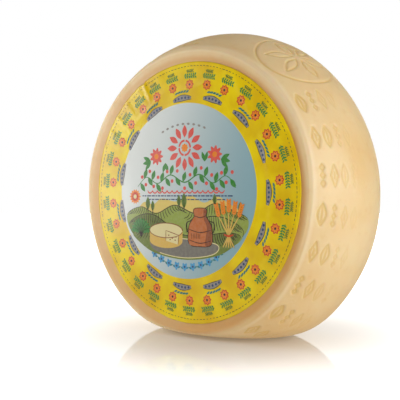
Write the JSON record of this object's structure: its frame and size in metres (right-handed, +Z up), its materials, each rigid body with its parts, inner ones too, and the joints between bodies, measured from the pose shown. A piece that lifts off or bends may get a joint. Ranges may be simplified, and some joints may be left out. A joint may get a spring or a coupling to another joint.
{
  "type": "asiago cheese wheel",
  "caption": "Thick round wheel of pressed cheese standing on its edge, with marks pressed into its side and a large round label on one face.",
  "frame": {"origin": "on the surface the wheel stands on, under the middle of the wheel, at the centre of its flat spot", "axes": "+Y along the wheel's own axis, with the labelled face towards -Y; +Z up"},
  "size_m": [0.351, 0.1369, 0.3263],
  "materials": {
    "rind": "waxy, slightly glossy natural rind of a young pressed cheese, cream to straw yellow",
    "label": "thin printed film, glossy, with a yellow ring and a pale blue centre"
  },
  "bodies": {
    "root": {"cheese_wheel": "rind", "face_label": "label"}
  },
  "joints": []
}
